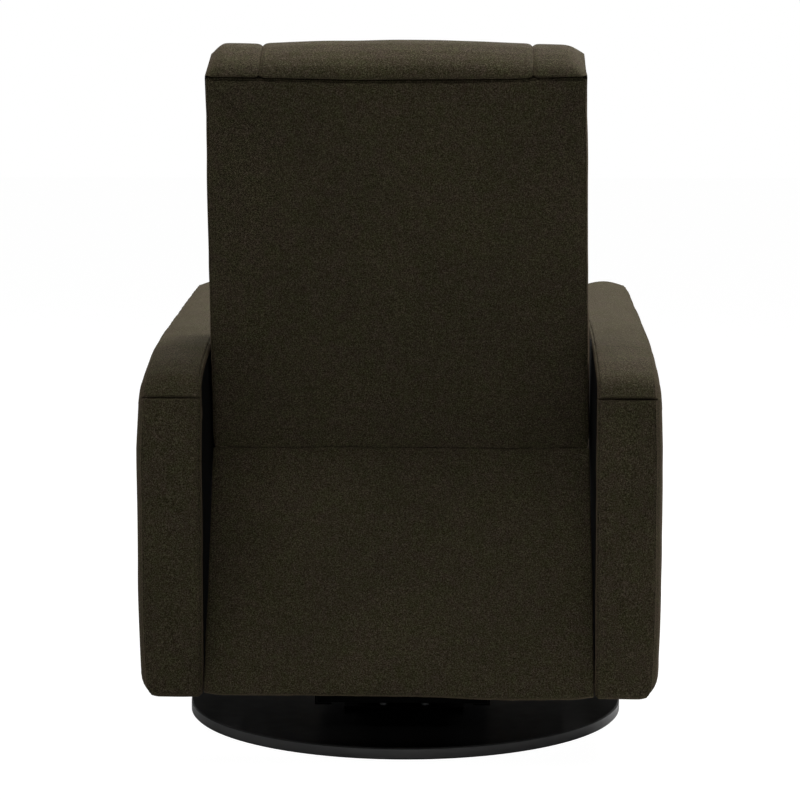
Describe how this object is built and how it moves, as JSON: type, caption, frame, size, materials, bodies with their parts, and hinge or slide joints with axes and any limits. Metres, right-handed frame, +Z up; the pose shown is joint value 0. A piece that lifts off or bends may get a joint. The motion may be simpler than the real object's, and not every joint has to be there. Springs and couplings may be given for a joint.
{
  "type": "swivel rocker",
  "caption": "Upholstered swivel rocker on a round disc base, with padded arms, a reclining back and a folding footrest.",
  "frame": {"origin": "centre of the round base's underside, on the floor", "axes": "+Z up; the chair faces -Y, so +Y is its rear; +X is the sitter's left"},
  "size_m": [0.776, 0.8868, 1.0726],
  "materials": {
    "disc": "black satin lacquer",
    "rubber": "matt",
    "steel": "zinc plated",
    "black_steel": "black powder coat",
    "plastic": "matt moulded",
    "timber": "raw hardwood and plywood",
    "cloth": "dark olive brown heather weave over foam"
  },
  "bodies": {
    "base": {"base_disc": "disc", "anti_slip_ring": "rubber", "swivel_lower_plate": "black_steel", "swivel_balls": "steel", "king_bolt": "steel", "king_washer": "steel", "disc_screws": "steel"},
    "turntable": {"swivel_upper_plate": "black_steel", "stand_channel_left": "black_steel", "stand_channel_right": "black_steel", "stand_beam_front": "black_steel", "stand_beam_rear": "black_steel", "rocker_brackets": "steel", "rocker_pin": "steel", "rock_springs_front": "steel", "rock_springs_rear": "steel"},
    "chassis": {"rocker_carriage": "black_steel", "rocker_hangers": "black_steel", "carriage_bushes": "plastic", "cross_tube_front": "black_steel", "cross_tube_rear": "black_steel", "side_plate_left": "black_steel", "side_plate_right": "black_steel", "back_uprights": "black_steel", "pivot_studs": "steel", "front_rail": "timber", "rear_rail": "timber", "side_rails": "timber", "seat_spacers": "steel", "seat_springs": "steel", "seat_cushion": "cloth", "arm_frame_left": "timber", "arm_frame_right": "timber", "arm_boxing_left": "cloth", "arm_boxing_right": "cloth", "arm_panel_left": "cloth", "arm_panel_right": "cloth", "arm_spacers": "timber", "arm_bolts": "steel", "lower_back_panel": "cloth", "release_guide": "plastic"},
    "backrest": {"back_brackets": "steel", "back_stiles": "timber", "back_rails": "timber", "back_cover": "cloth", "back_pillow": "cloth", "back_bolster_left": "cloth", "back_bolster_right": "cloth"},
    "links_a": {"links_a": "steel", "torque_tube": "steel", "rivets_a": "steel"},
    "links_b": {"links_b": "steel", "rivets_b": "steel"},
    "links_c": {"links_c": "steel", "rivets_c": "steel"},
    "links_d": {"links_d": "steel"},
    "footrest": {"footrest_brackets": "steel", "footrest_board": "timber", "footrest_pad": "cloth"},
    "release": {"release_pull": "plastic"}
  },
  "joints": [
    {"name": "swivel", "type": "hinge", "parent": "base", "child": "turntable", "pos_m": [0, 0, 0.0335], "axis": [0, 0, 1], "continuous": true},
    {"name": "rock", "type": "hinge", "parent": "turntable", "child": "chassis", "pos_m": [0, 0.02, 0.088], "axis": [-1, 0, 0], "range_deg": [-6, 7], "stiffness_Nm_per_rad": 700, "springref_deg": -0.14, "deforming": ["rock_springs_front", "rock_springs_rear"]},
    {"name": "recline", "type": "hinge", "parent": "chassis", "child": "backrest", "pos_m": [0, 0.259, 0.466], "axis": [-1, 0, 0], "range_deg": [0, 35]},
    {"name": "foot_a", "type": "hinge", "parent": "chassis", "child": "links_a", "pos_m": [0, -0.286, 0.322], "axis": [-1, 0, 0], "range_deg": [0, 66]},
    {"name": "foot_b", "type": "hinge", "parent": "links_a", "child": "links_b", "pos_m": [0, -0.30336, 0.22352], "axis": [-1, 0, 0], "range_deg": [-132, 0]},
    {"name": "foot_c", "type": "hinge", "parent": "links_a", "child": "links_c", "pos_m": [0, -0.32073, 0.12504], "axis": [-1, 0, 0], "range_deg": [-132, 0]},
    {"name": "foot_d", "type": "hinge", "parent": "links_b", "child": "links_d", "pos_m": [0, -0.32073, 0.322], "axis": [-1, 0, 0], "range_deg": [0, 132]},
    {"name": "footrest_tilt", "type": "hinge", "parent": "links_c", "child": "footrest", "pos_m": [0, -0.35546, 0.322], "axis": [-1, 0, 0], "range_deg": [0, 159]},
    {"name": "release", "type": "slide", "parent": "chassis", "child": "release", "axis": [0, 0, 1], "range_m": [0, 0.025], "stiffness_N_per_m": 200, "springref_m": -0.005}
  ],
  "couplings": [
    {"joint": "foot_b", "follows": "foot_a", "ratio": -2},
    {"joint": "foot_c", "follows": "foot_a", "ratio": -2},
    {"joint": "foot_d", "follows": "foot_a", "ratio": 2},
    {"joint": "footrest_tilt", "follows": "foot_a", "ratio": 2.4091}
  ]
}
